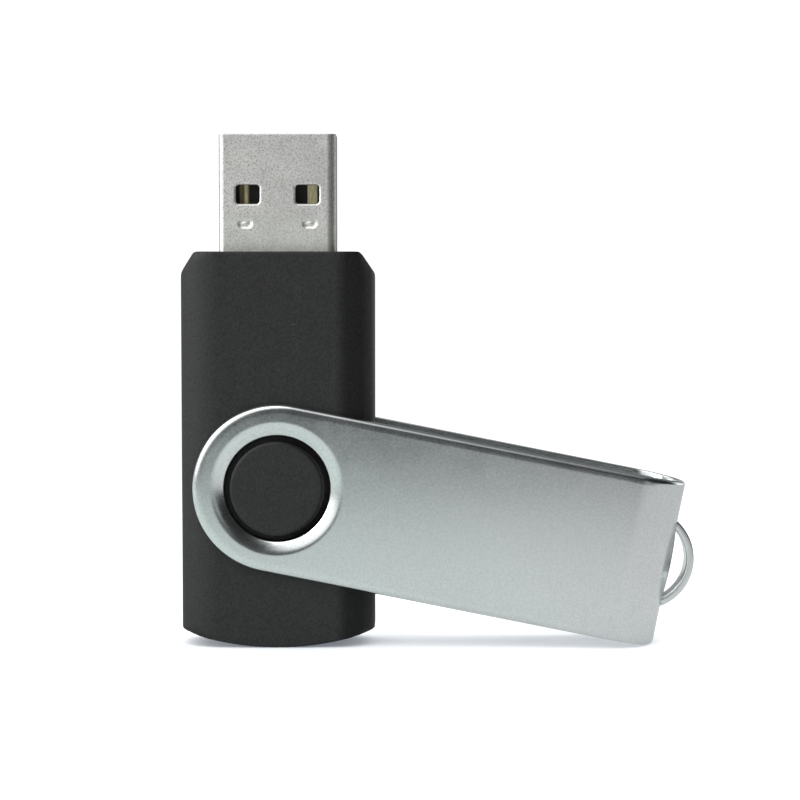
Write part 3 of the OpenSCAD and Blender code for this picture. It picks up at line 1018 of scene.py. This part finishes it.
def paper_look():
    """White paper, with levels of its own for the camera, for reflections and for all other light."""
    n = Look("floor_look")
    ray = n.node("ShaderNodeLightPath").outputs
    seen = ray["Is Camera Ray"]
    mirrored = ray["Is Glossy Ray"]
    at = n.split(n.place)

    # the metal sees the paper grow darker towards the camera, a little greener on the left
    fade = n.spread(at["Y"], 0.01, 0.565, -0.30, -0.125)
    level = n.math("MULTIPLY", fade, n.spread(at["X"], 1.0, 0.78, 0.03, 0.09))
    tint = n.mix(n.spread(at["X"], 0.0, 1.0, -0.01, 0.05), (0.90, 1.0, 0.965), (0.98, 0.99, 1.0))
    dimmed = n.scaled(tint, level)
    white = n.blend(seen, PAPER_WHITE, 1.0)
    n.finished(color=n.mix(mirrored, white, n.scaled(dimmed, 0.5)), roughness=0.9, specular=0.0)

    # a low bluish light of its own keeps the shadows soft
    glow = n.node("ShaderNodeEmission", {
        "Color": n.mix(mirrored, (0.80, 0.88, 1.0), dimmed),
        "Strength": n.blend(mirrored, PAPER_GLOW, MIRRORED_GLOW),
    })
    paper = n.node("ShaderNodeAddShader", {0: n.shader.outputs[0], 1: glow.outputs[0]}).outputs[0]

    # for the camera the paper fades into the white backdrop
    far = n.node("ShaderNodeVectorMath", {0: n.place}, operation="LENGTH").outputs["Value"]
    gone = n.math("MULTIPLY", n.spread(far, 0.0, 1.0, 0.10, 0.20), seen)
    clear = n.node("ShaderNodeBsdfTransparent").outputs[0]
    n.feed(n.tree.nodes["Material Output"].inputs[0], n.choose(gone, paper, clear))
    return n.material


def floor():
    reach = PAPER_REACH
    corners = [(-reach, -reach), (reach, -reach), (reach, reach), (-reach, reach)]
    mesh = bpy.data.meshes.new("floor")
    mesh.from_pydata([(x, y, FLOOR_Z) for x, y in corners], [], [(0, 1, 2, 3)])
    ob = add_object("floor", mesh)
    wear(ob, paper_look())


def direction(turn, off_axis):
    """Unit direction at off_axis degrees from straight at the camera, turned from right towards up."""
    a, b = math.radians(turn), math.radians(off_axis)
    return (math.sin(b) * math.cos(a), -math.cos(b), math.sin(b) * math.sin(a))


def mirrored_studio(n, way):
    """The level of the studio in each direction, as the metal mirrors it."""
    level = STUDIO_LEVEL
    for turn, off_axis, radius, softness, area_level in STUDIO_AREAS:
        inputs = {0: way, 1: direction(turn, off_axis)}
        towards = n.node("ShaderNodeVectorMath", inputs, operation="DOT_PRODUCT").outputs["Value"]
        outside = math.cos(math.radians(radius + softness))
        inside = math.cos(math.radians(radius - softness))
        level = n.blend(n.spread(towards, 0.0, 1.0, outside, inside, "SMOOTHSTEP"), level, area_level)
    return level


def plain_studio(n, way):
    """The level of the studio in each direction, as it lights plain surfaces."""
    at = n.split(way)
    low = n.spread(at["X"], SIDE_LEFT, SIDE_RIGHT, -1.0, 1.0)
    high = n.spread(at["X"], ABOVE_LEFT, ABOVE_RIGHT, -0.7, 0.7)
    return n.blend(n.spread(at["Z"], 0.0, 1.0, 0.2, 0.7), low, high)


def world():
    studio = bpy.data.worlds.new("studio")
    bpy.context.scene.world = studio
    studio.use_nodes = True
    studio.node_tree.nodes.clear()
    n = Nodes(studio.node_tree)
    way = n.node("ShaderNodeTexCoord").outputs["Generated"]
    ray = n.node("ShaderNodeLightPath").outputs

    def background(colour, level):
        return n.node("ShaderNodeBackground", {"Color": (*colour, 1), "Strength": level}).outputs[0]

    mirrored = background((0.97, 0.99, 1.0), mirrored_studio(n, way))
    plain = background((0.98, 0.99, 1.0), plain_studio(n, way))
    light = n.choose(ray["Is Diffuse Ray"], mirrored, plain)
    shown = n.choose(ray["Is Camera Ray"], light, background((1, 1, 1), BACKDROP))
    n.node("ShaderNodeOutputWorld", {0: shown})


def lamp(name, at, side, watts, plain):
    data = bpy.data.lights.new(name, "AREA")
    data.shape = "SQUARE"
    data.size = side
    data.energy = watts
    ob = add_object(name, data)
    ob.location = at
    ob.rotation_euler = (Vector(LAMP_TARGET) - Vector(at)).to_track_quat("-Z", "Y").to_euler()
    ob.visible_diffuse = plain


def camera():
    data = bpy.data.cameras.new("camera")
    data.sensor_width = 36
    data.lens = LENS
    data.clip_start = 0.01
    data.clip_end = 20
    ob = add_object("camera", data)
    ob.location = CAMERA_AT
    ob.rotation_euler = (math.radians(90 - CAMERA_DOWN), 0, 0)
    bpy.context.scene.camera = ob


# ---------- the object and the stage ----------

plastic = black_plastic()
wear(housing_half("housing_front", -1, "front_shell"), plastic)
wear(housing_half("housing_rear", 1, "rear_shell"), plastic)
# shaded and lit copies of one satin finish: the facets beside the slot get painted shade (0.85) and the
# strap painted light (1.05); the facets are also rougher
swivel_cover(
    satin_metal("satin_cover", 1.0, 0.17, 0.1),
    satin_metal("pressed_cover", 0.85, 0.42, 0.3),
    satin_metal("strap_cover", 1.05, 0.20, 0.3),
)
wear(plug_shell(), plug_metal())
paint_cad_nodes()

floor()
world()
for settings in LAMPS:
    lamp(*settings)
camera()
bpy.context.scene.view_settings.view_transform = "Standard"
